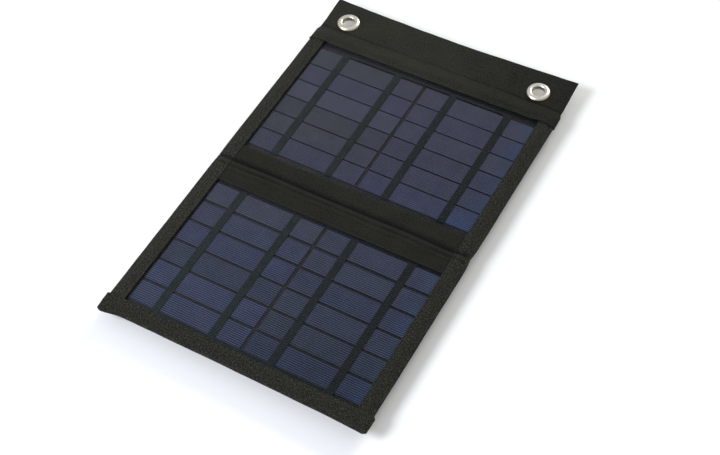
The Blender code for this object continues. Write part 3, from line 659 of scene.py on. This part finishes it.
def tape_path(front_width, rear_width):
    """(inward, height) along the middle of the tape, from its front inner edge, round the edge, to its
    rear inner edge. Height is a fraction of FLAT_REACH."""
    shoulder = EDGE_ROUND * 0.96 / FLAT_REACH
    round_x = TAPE / 2 + EDGE_ROUND
    slope = [(EDGE_DEPTH + (round_x - EDGE_DEPTH) * i / 5,
              1.0 + (shoulder - 1.0) * smooth(i / 5, -0.25, 1.1)) for i in range(1, 6)]
    front = [(inward, 1.0) for inward in spread(front_width, front_width - 3.2, 0.4)]
    front += [(inward, 1.0) for inward in spread(front_width - 3.2, EDGE_DEPTH, 0.8)[1:]] + slope
    turn = [(round_x - EDGE_ROUND * math.cos(a), EDGE_ROUND / FLAT_REACH * math.sin(a))
            for a in (math.radians(80 - 20 * i) for i in range(9))]
    rear = [(inward, -height) for inward, height in reversed(slope)]
    rear += [(inward, -1.0) for inward in spread(EDGE_DEPTH, rear_width - 3.2, 0.8)]
    rear += [(inward, -1.0) for inward in spread(rear_width - 3.2, rear_width, 0.4)[1:]]
    return front + turn + rear


def tape_grid(along, path, place):
    """place(t, inward, height) gives a point of the tape. Returns its grid and its lay."""
    reach = arc_length([(inward, height * FLAT_REACH, 0.0) for inward, height in path])
    grid = [[place(t, inward, height) for inward, height in path] for t in along]
    wear_and_shade = [0.3 * hump(inward - 0.3, 1.0) + 0.18 * hump(d, 0.5)
            for (inward, _), d in zip(path, np.minimum(reach, reach[-1] - reach))]
    lay = [[(t, reach[j], wear_and_shade[j] * max(0.0, 0.6 + 1.2 * wander(t, reach[j], 6.0, 21)))
            for j in range(len(path))] for t in along]
    return grid, lay


def stitch_groove(inset):
    """How deep the stitches pull the tape in, at a distance from its inner edge."""
    return -0.16 * hump(inset - STITCH_INSET, 0.5)


def rear_slack(y):
    """How far a side tape hangs out behind the fold."""
    return 0.5 * hump(y - FOLD_Y, 3.5)


def tape_crease_shade(y):
    """Painted shade: how much darker the front of a side tape is painted at its two creases."""
    fold = y - FOLD_Y
    return 0.75 * hump(fold - 0.2, 1.1) + 0.45 * hump(fold + LESSER_CREASE, 0.9)


def make_side_tape(name, hand, finish, nodes):
    """hand is -1 on the left and 1 on the right."""
    front_width = EDGE_X - (WINDOW_X[1] if hand > 0 else -WINDOW_X[0])
    path = tape_path(front_width, REAR_TAPE_WIDTH)
    if hand > 0:
        path = path[::-1]
    tuck = 2.6                                    # how far it runs under the bottom tape and the sleeve
    along = spread(LOWER_WINDOW_Y[0] - tuck, UPPER_WINDOW_Y[1] + tuck, 0.9)

    def place(y, inward, height):
        fold = y - FOLD_Y
        flat = smooth(inward, 1.0, EDGE_DEPTH)
        front = 1.0 if height > 0 else 0.0
        width = front_width if height > 0 else REAR_TAPE_WIDTH
        edge_in = inward / width
        shift = (0.75 if hand > 0 else 0.25) * hump(fold, 4.5) * (1 - edge_in)
        shift += 0.18 * wander(y, hand * 5.0, 16.0, 31) * (1 - edge_in)
        shift += 0.22 * wander(y, hand * 9.0, 8.0, 32) * edge_in
        inset = width - inward
        z = MIDDLE_Z + TAPE_HALF * height
        puff = 0.10 * wander(y, inward, 7.0, 33 + hand) * flat
        groove = stitch_groove(inset) * flat
        lift = 0.14 * hump(inset, 0.9) * front
        dip = -0.95 * hump(fold, 1.5) * flat * front
        dip -= 0.3 * hump(fold + LESSER_CREASE, 1.1) * flat * front
        slack = rear_slack(y) * flat * (1 - front)
        side = 1 if height > 0 else -1
        z += side * (puff + groove + lift + slack) + dip
        return hand * (EDGE_X - inward - shift), y, z

    grid, lay = tape_grid(along, path, place)
    lay = [[(t, far, wear_and_shade - tape_crease_shade(y) * smooth(inward, 0.6, 3.0) * (height > 0))
            for (t, far, wear_and_shade), (inward, height) in zip(row, path)] for row, y in zip(lay, along)]
    piece = thick_sheet(name, grid, lay, TAPE, finish)
    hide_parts(*nodes)
    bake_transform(piece)
    reach = arc_length([(inward, height * TAPE_HALF, 0.0) for inward, height in path])[-1]


def make_bottom_tape(finish):
    width = LOWER_WINDOW_Y[0] - BOTTOM_Y
    path = tape_path(width, width)[::-1]
    ends = (-EDGE_X - 0.8, EDGE_X + 0.7)
    close = 2.0                                   # each folded end closes over this much
    turns = [close * (1 - math.sin(math.pi / 2 * i / 7)) for i in range(8)]
    along = [ends[0] + t for t in reversed(turns)] + spread(ends[0] + close, ends[1] - close, 1.0)[1:-1]
    along += [ends[1] - t for t in turns]

    def place(x, inward, height):
        side = 1 if height > 0 else -1
        flat = smooth(inward, 1.0, EDGE_DEPTH)
        inset = width - inward
        to_end = min(x - ends[0], ends[1] - x)
        over_side = 1 - smooth(to_end, 9.5, 13.5)
        out = max(0.0, close - to_end) / close
        closing = math.sqrt(max(0.0, 1 - min(1.0, out) ** 2))
        swell = (0.15 if height > 0 else 0.35) * over_side * (0.3 + 0.7 * flat)
        puff = 0.10 * wander(x, inward, 7.0, 41) * flat
        groove = stitch_groove(inset) * flat
        lift = 0.12 * hump(inset, 0.9)
        z = (TAPE_HALF * abs(height) + (swell + puff + groove + lift) * min(1.0, abs(height) * 1.5)) * side
        outer = 1 - inward / width
        bow = (0.6 * (1 - (x / EDGE_X) ** 2) - 0.8 - 0.5 * x / EDGE_X) * outer
        shift = bow + 0.22 * wander(x, 3.0, 14.0, 42) * outer + 0.2 * wander(x, 9.0, 8.0, 43) * (1 - outer)
        corner = 1.0 * (1 - smooth(to_end, 0.0, 2.3)) * outer
        corner -= (2.1 if x < 0 else 0.3) * (1 - smooth(to_end, 1.0, 17.0)) * outer
        jag = 0.35 * wander(x * 2, inward * 2, 2.5, 44) * out
        y = BOTTOM_Y + inward + shift + corner + jag
        return x, y, MIDDLE_Z + z * (0.2 + 0.8 * closing)

    grid, lay = tape_grid(along, path, place)
    piece = thick_sheet("bottom_tape", grid, lay, TAPE, finish)
    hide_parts("bottom_binding")
    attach(piece, "lower_half")
    reach = arc_length([(inward, height * TAPE_HALF, 0.0) for inward, height in path])[-1]


# ---- the sleeve and the flap, one cloth ----
SLEEVE_CLOTH = 0.6               # thickness of the sleeve and the flap
TOP_HALF = 90.0                  # half the width of their grid, before it takes the cloth's own width
SLEEVE_STITCH_HALF = 84.0        # half the length of the rows of stitches at the sleeve's mouth
FLAT_HALF = 0.45                 # half the distance between the two layers of the flap
FLAP_BOW = 2.4                   # how much the flap's far edge is hollowed in its middle
FLAP_TURN = 0.8                  # how far before its far edge the flap's cloth turns back
FLAP_LEAN = 0.8                  # how far the flap leans to the left
HOLE_RADIUS = 5.3                # in the cloth, under the eyelet's flange


def top_half_width(y):
    """Half the width of the sleeve and the flap at each height."""
    mouth = UPPER_WINDOW_Y[1]
    width = EDGE_X + 0.35 + 0.35 * hump(y - mouth, 1.2)
    width -= 1.15 * smooth(y, FLAP_AXIS_Y - 5.5, FLAP_AXIS_Y - 1.2)
    width += 0.30 * smooth(y, FLAP_AXIS_Y + 2.0, FLAP_END_Y)
    return width


def top_half_gap(inward, y):
    """Half the distance between the front and rear layers, inward from the edge."""
    bag = (SLEEVE_FRONT_Z - SLEEVE_CLOTH / 2) - FLAP_MIDDLE_Z
    seam = 0.32
    t = min(1.0, max(0.0, (inward - 0.5) / 5.2))
    sleeve = seam + (bag - seam) * math.sqrt(1 - (1 - t) ** 2)
    flap = seam + (FLAT_HALF - seam) * smooth(inward, 0.6, 2.5)
    return sleeve + (flap - sleeve) * smooth(y, FLAP_AXIS_Y - 11.0, FLAP_AXIS_Y + 0.3)


def flap_lift(x, y):
    """How far the cloth of the flap curls up, most at its far right corner."""
    return (0.3 + 1.2 * smooth(x, -60.0, EDGE_X)) * smooth(y, FLAP_AXIS_Y + 1.0, FLAP_END_Y)


def mouth_dip(inward, y):
    """How far the sleeve's front sinks towards its mouth, where it lies on the laminate."""
    return 1.0 * hump(y - UPPER_WINDOW_Y[1], 3.4) * smooth(inward, 12.5, 16.0)


def flap_crease(x, y):
    """Distance from the wavy crease at the foot of the flap."""
    return y - FLAP_AXIS_Y + 0.2 - 0.9 * wander(x, 0.0, 28.0, 55)


def make_top_cloth(finish):
    mouth = UPPER_WINDOW_Y[1]
    front = [mouth]
    for start, end, step in ((mouth, mouth + 3.0, 0.5), (mouth + 3.0, FLAP_AXIS_Y - 5.0, 1.0),
                             (FLAP_AXIS_Y - 5.0, FLAP_AXIS_Y + 3.0, 0.4),
                             (FLAP_AXIS_Y + 3.0, FLAP_END_Y - 3.0, 1.0),
                             (FLAP_END_Y - 3.0, FLAP_END_Y - FLAP_TURN, 0.5)):
        front += spread(start, end, step)[1:]
    turn = [(FLAP_END_Y - FLAP_TURN + FLAP_TURN * math.sin(a), math.cos(a))
            for a in (math.pi * i / 8 for i in range(1, 8))]
    path = [(y, 1.0) for y in front] + turn + [(y, -1.0) for y in reversed(front)]
    reach = arc_length([(y, 0.6 * side, 0.0) for y, side in path])
    edge = [0.0, 0.3, 0.6, 0.9, 1.3, 1.8, 2.4, 3.1, 3.9, 4.8, 5.8, 6.9]
    xs = [e - TOP_HALF for e in edge] + spread(edge[-1] - TOP_HALF, TOP_HALF - edge[-1], 1.1)[1:-1]
    xs += [TOP_HALF - e for e in reversed(edge)]

    def place(x, y, side):
        width = top_half_width(y) + 0.12 * wander(y, x > 0, 3.5, 51)
        inward = TOP_HALF - abs(x)
        out_on_flap = smooth(y, FLAP_AXIS_Y + 2.0, FLAP_END_Y)
        across = x * width / TOP_HALF - FLAP_LEAN * out_on_flap
        gap = top_half_gap(inward, y)
        inner = smooth(inward, 0.5, 4.0)
        on_sleeve = 1 - smooth(y, FLAP_AXIS_Y - 4.0, FLAP_AXIS_Y - 0.5)
        z = gap * side
        z += 0.10 * wander(across, y, 17.0, 52) * inner * on_sleeve * smooth(y, mouth, mouth + 4.0)
        z += 0.06 * wander(across, y, 5.0, 53) * inner
        z -= 0.14 * side * hump(y - mouth - 2.0, 0.5) * inner
        z -= mouth_dip(inward, y) * (side > 0)
        z += 0.28 * wander(across, y * 0.6, 38.0, 54) * smooth(y, FLAP_AXIS_Y, FLAP_END_Y)
        z += 0.17 * wander(across, y * 1.3, 11.0, 58) * smooth(y, FLAP_AXIS_Y, FLAP_AXIS_Y + 6.0) * inner
        z -= 0.34 * hump(flap_crease(x, y), 1.0) * (side > 0) * inner
        z += flap_lift(across, y)
        bow = FLAP_BOW * (0.4 - (x / TOP_HALF) ** 2) * out_on_flap
        bow += 0.25 * wander(across, 7.0, 20.0, 56) * out_on_flap
        hem = 0.35 * wander(across, 2.0, 15.0, 57) * (1 - smooth(y, mouth, mouth + 3.0))
        return across, y - bow + hem, FLAP_MIDDLE_Z + z

    grid = [[place(x, y, side) for y, side in path] for x in xs]
    hem_wear = [0.22 * hump(min(far, reach[-1] - far), 0.6) for far in reach]
    lay = []                     # painted shade: darker towards the right, where less light falls, and in the crease at the foot of the flap
    for x in xs:
        shade = 0.27 * smooth(x, -10.0, 60.0)
        flap_crease_shade = 0.22 + 0.25 * smooth(abs(x), 20.0, 75.0)
        lay.append([(x, far, wear_and_shade - shade - flap_crease_shade * hump(flap_crease(x, y), 1.0) * (side > 0))
                    for far, wear_and_shade, (y, side) in zip(reach, hem_wear, path)])
    points = np.array(grid)
    middle = (points[:-1, :-1] + points[1:, :-1] + points[:-1, 1:] + points[1:, 1:]) / 4
    keep = np.ones(middle.shape[:2], bool)
    for side in ("left", "right"):
        centre = (low(side + "_eyelet") + high(side + "_eyelet")) / 2
        keep &= np.hypot(middle[..., 0] - centre.x, middle[..., 1] - centre.y) > HOLE_RADIUS
    piece = thick_sheet("top_cloth", grid, lay, SLEEVE_CLOTH, finish, keep)
    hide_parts("top_sleeve", "flap_cloth")
    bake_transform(piece)


# ---- film ----
def make_film(half, finish):
    lowest, highest = low(half + "_film"), high(half + "_film")
    thickness = 0.15
    base = high(half + "_ribbons").z + 0.06 + thickness / 2
    xs = spread(lowest.x, highest.x, 1.6)
    ys = spread(lowest.y, highest.y, 1.6)

    def height(x, y):
        inner = smooth(min(x - lowest.x, highest.x - x), 2.0, 9.0)
        inner *= smooth(min(y - lowest.y, highest.y - y), 4.0, 10.0)
        broad, fine = 1 + wander(x, y, 26.0, 61), 1 + wander(x, y, 8.0, 62)
        return base + 0.07 * broad * inner + 0.02 * fine * inner

    grid = [[(x, y, height(x, y)) for y in ys] for x in xs]
    lay = [[(x, y, 0.0) for y in ys] for x in xs]
    piece = thick_sheet(half + "_clear_film", grid, lay, thickness, finish)
    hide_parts(half + "_film")
    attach(piece, half + "_half")


# ---- eyelets ----
def make_eyelets(finish):
    """Pressed eyelets with a domed flange and a rolled rear lip, and the washers behind the cloth."""
    outline = [(4.95, -2.2), (4.35, -1.2), (4.05, 0.0), (4.0, 0.9), (4.15, 1.6), (4.6, 2.15), (5.4, 2.45),
               (6.3, 2.35), (7.1, 1.95), (7.7, 1.35), (7.95, 0.9), (7.55, 0.8), (7.0, 1.3), (6.2, 1.7),
               (5.4, 1.85), (4.85, 1.5), (4.6, 0.9), (4.75, -0.9), (5.2, -1.7), (5.9, -1.85),
               (6.1, -2.1), (5.7, -2.4), (5.2, -2.45)]
    washer = [(5.3, -1.5), (5.3, -1.1), (6.2, -0.95), (7.5, -1.05), (7.7, -1.3), (7.4, -1.5)]
    for side in ("left", "right"):
        where = (low(side + "_eyelet") + high(side + "_eyelet")) / 2
        where.z = FLAP_MIDDLE_Z + flap_lift(where.x, where.y)
        eyelet = turned(side + "_pressed_eyelet", where, rounded_loop(outline), finish)
        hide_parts(side + "_eyelet")
        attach(eyelet, "flap")
        ring = turned(side + "_eyelet_washer", where, rounded_loop(washer), finish)
        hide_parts(side + "_washer")
        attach(ring, "flap")


# ---- stitches ----
STITCH_PITCH = 3.0
STITCH_LENGTH = 2.3
STITCH_RADIUS = 0.17
STITCH_SINK = 0.16               # how far the rows lie in the tape
REAR_STAND = 0.2                 # how much further out the rear rows stand


def stitch_row(name, finish, start, end, height):
    """Stitches in a straight row between two (x, y) points. height(x, y) is the cloth's outer surface,
    and each stitch dives into it at both ends."""
    across = Vector((end[0] - start[0], end[1] - start[1]))
    run, way = across.length, across.normalized()
    beside = Vector((-way.y, way.x))
    points, faces, lay = [], [], []
    sides, rings = 6, 6
    for number in range(int(run / STITCH_PITCH)):
        middle = (number + 0.5) * STITCH_PITCH
        sway = 0.12 * wander(middle, start[0], 4.0, 71)
        first = len(points)
        for i in range(rings + 1):
            t = i / rings * 2 - 1
            along = middle + t * STITCH_LENGTH / 2
            centre = Vector(start) + way * along + beside * sway
            radius = STITCH_RADIUS * math.sqrt(max(0.03, 1 - t ** 4))
            lift = 0.10 - 0.26 * t ** 4
            z = height(centre.x, centre.y) + lift
            for j in range(sides):
                angle = 2 * math.pi * j / sides
                out = centre + beside * radius * math.cos(angle)
                points.append((out.x, out.y, z + radius * math.sin(angle) * 0.9))
                lay.append((along, radius * angle, 0.0))
        for i in range(rings):
            for j in range(sides):
                a, b = first + i * sides + j, first + i * sides + (j + 1) % sides
                faces.append((a, b, b + sides, a + sides))
        faces.append(tuple(first + j for j in reversed(range(sides))))
        faces.append(tuple(first + rings * sides + j for j in range(sides)))
    return mesh_piece(name, points, faces, lay, finish)


def stitch_dip(y):
    """How far a side tape's front row dips at the tape's two creases."""
    return 0.75 * hump(y - FOLD_Y, 1.7) + 0.3 * hump(y - FOLD_Y + LESSER_CREASE, 1.1)


def make_stitches(finish):
    front, rear = FRONT_Z - STITCH_SINK, REAR_Z + STITCH_SINK
    for side, hand in (("left", -1), ("right", 1)):
        x = (WINDOW_X[0] - STITCH_INSET) if hand < 0 else (WINDOW_X[1] + STITCH_INSET)
        ends = (LOWER_WINDOW_Y[0] + 1.0, UPPER_WINDOW_Y[1] - 0.5)
        row = stitch_row(side + "_front_stitches", finish, (x, ends[0]), (x, ends[1]),
                         lambda px, py: front - stitch_dip(py))
        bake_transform(row)
        x = hand * (EDGE_X - REAR_TAPE_WIDTH + STITCH_INSET)
        row = stitch_row(side + "_rear_stitches", finish, (x, ends[0]), (x, ends[1]),
                         lambda px, py: rear - rear_slack(py) - REAR_STAND)
        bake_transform(row)
    y = LOWER_WINDOW_Y[0] - STITCH_INSET
    for name, z in (("bottom_front_stitches", front), ("bottom_rear_stitches", rear - REAR_STAND)):
        row = stitch_row(name, finish, (WINDOW_X[0] + 2, y), (WINDOW_X[1] - 2, y), lambda px, py: z)
        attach(row, "lower_half")
    y = UPPER_WINDOW_Y[1] + 2.0
    for name, z, dips in (("sleeve_front_stitches", SLEEVE_FRONT_Z - 0.12, 1),
                          ("sleeve_rear_stitches", low("top_sleeve").z - 0.02, 0)):
        row = stitch_row(name, finish, (-SLEEVE_STITCH_HALF, y), (SLEEVE_STITCH_HALF, y),
                         lambda px, py: z - dips * mouth_dip(TOP_HALF - abs(px), py))
        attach(row, "upper_half")


# ---- the carried-over CAD nodes ----
# The brightness and the blueness of each row of cells in the upper half.
UPPER_ROW_TONES = ((1.02, 1.04), (0.95, 0.95), (0.96, 0.96), (1.05, 1.06), (1.0, 1.0), (1.04, 0.91))


def dress(finish, *names):
    """Give CAD nodes a finer material."""
    for name in names:
        materials = frame["nodes"][name].data.materials
        materials.clear()
        materials.append(finish)


def dress_cells(finish):
    """Each cell has its own tone."""
    for half in ("upper", "lower"):
        for number in range(1, CELLS_PER_HALF + 1):
            name = f"{half}_cell_{number:02d}"
            dress(finish, name)
            x = (low(name).x + high(name).x) / 2
            y = (low(name).y + high(name).y) / 2
            row_tone, row_tint = UPPER_ROW_TONES[(number - 1) // 2] if half == "upper" else (1.0, 1.0)
            tone = row_tone * (1.06 + 0.20 * wander(x, y, 3.1, 81))
            tint = row_tint * (1.0 + 0.20 * wander(x, y, 2.7, 82))
            frame["nodes"][name].color = (tone, tone, tone * tint, 1.0)


def dress_frame():
    dress_cells(silicon())
    dress(laminate_black("black_backsheet", (0.0085, 0.0088, 0.0072), (0.0130, 0.0128, 0.0105), 0.34),
          "upper_backsheet", "lower_backsheet")
    dress(laminate_black("black_ribbon", (0.0055, 0.0078, 0.0058), (0.0085, 0.0112, 0.0084), 0.32),
          "upper_ribbons", "lower_ribbons")
    plastics = (
        ("grey_board", (0.15, 0.14, 0.12), (0.20, 0.19, 0.17), 0.65, 700.0, "upper_board", "lower_board"),
        ("box_plastic", (0.020, 0.020, 0.020), (0.028, 0.028, 0.027), 0.38, 1500.0,
         "regulator_base", "regulator_cover"),
        ("cable_vinyl", (0.018, 0.018, 0.018), (0.026, 0.026, 0.026), 0.45, 1500.0, "lower_panel_cable"),
        ("circuit_green", (0.015, 0.10, 0.04), (0.02, 0.14, 0.055), 0.4, 500.0, "circuit_board"),
        ("ferrite", (0.06, 0.06, 0.065), (0.09, 0.09, 0.095), 0.55, 1500.0, "inductor"),
        ("chip_epoxy", (0.012, 0.012, 0.012), (0.02, 0.02, 0.02), 0.4, 1500.0, "converter_chip"),
        ("capacitor_case", (0.45, 0.28, 0.07), (0.55, 0.35, 0.10), 0.4, 1500.0, "capacitor"),
        ("socket_tongue", (0.75, 0.75, 0.72), (0.85, 0.85, 0.83), 0.4, 1500.0, "usb_tongue"))
    for name, colour, other, roughness, grain_scale, *nodes in plastics:
        dress(moulded_plastic(name, colour, other, roughness, grain_scale), *nodes)
    dress(brushed_metal("plated_steel", (0.52, 0.52, 0.53), (0.66, 0.66, 0.66), 0.22),
          "usb_shell", "cover_screw_1", "cover_screw_2")


def make_link_cable(finish):
    """The flat two-core cable that joins the halves, whole across the fold."""
    thickness = 0.8
    z = (low("upper_link_cable").z + high("upper_link_cable").z) / 2
    drop = low("lower_link_cable")
    bend = 2.0
    far, near = high("upper_link_cable").y, drop.y + thickness / 2 + bend
    path = [(y, z) for y in spread(far, near, 1.0)]
    path += [(near - bend * math.sin(a), z - bend * (1 - math.cos(a)))
             for a in (math.pi / 2 * i / 8 for i in range(1, 9))]
    path += [(near - bend, height) for height in spread(z - bend, drop.z, 1.0)[1:]]
    xs = spread(low("upper_link_cable").x + 0.15, high("upper_link_cable").x - 0.15, 0.35)
    ridged = [0.09 * math.cos(math.pi * 2 * x / 1.2) for x in xs]
    grid = [[(x, y, h + r) for y, h in path] for x, r in zip(xs, ridged)]
    lay = [[(x, y, 0.0) for y, _ in path] for x in xs]
    piece = thick_sheet("link_cable", grid, lay, thickness - 0.1, finish)
    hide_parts("upper_link_cable", "lower_link_cable")
    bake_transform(piece)


# ---- the whole ----
def main():
    make_camera()
    make_floor()
    make_light()
    cloth, tape, thread = woven_cloth(), twill_tape(), sewing_thread()
    metal, film = nickel(), clear_film()
    make_fold_band(cloth)
    make_back_cloth(cloth)
    make_side_tape("left_tape", -1, tape, ("upper_left_binding", "lower_left_binding"))
    make_side_tape("right_tape", 1, tape, ("upper_right_binding", "lower_right_binding"))
    make_bottom_tape(tape)
    make_top_cloth(cloth)
    make_film("upper", film)
    make_film("lower", film)
    make_eyelets(metal)
    make_stitches(thread)
    dress_frame()
    make_link_cable(moulded_plastic("link_vinyl", (0.018, 0.018, 0.018), (0.026, 0.026, 0.026), 0.45,
                                    place_of=laid_place))


main()
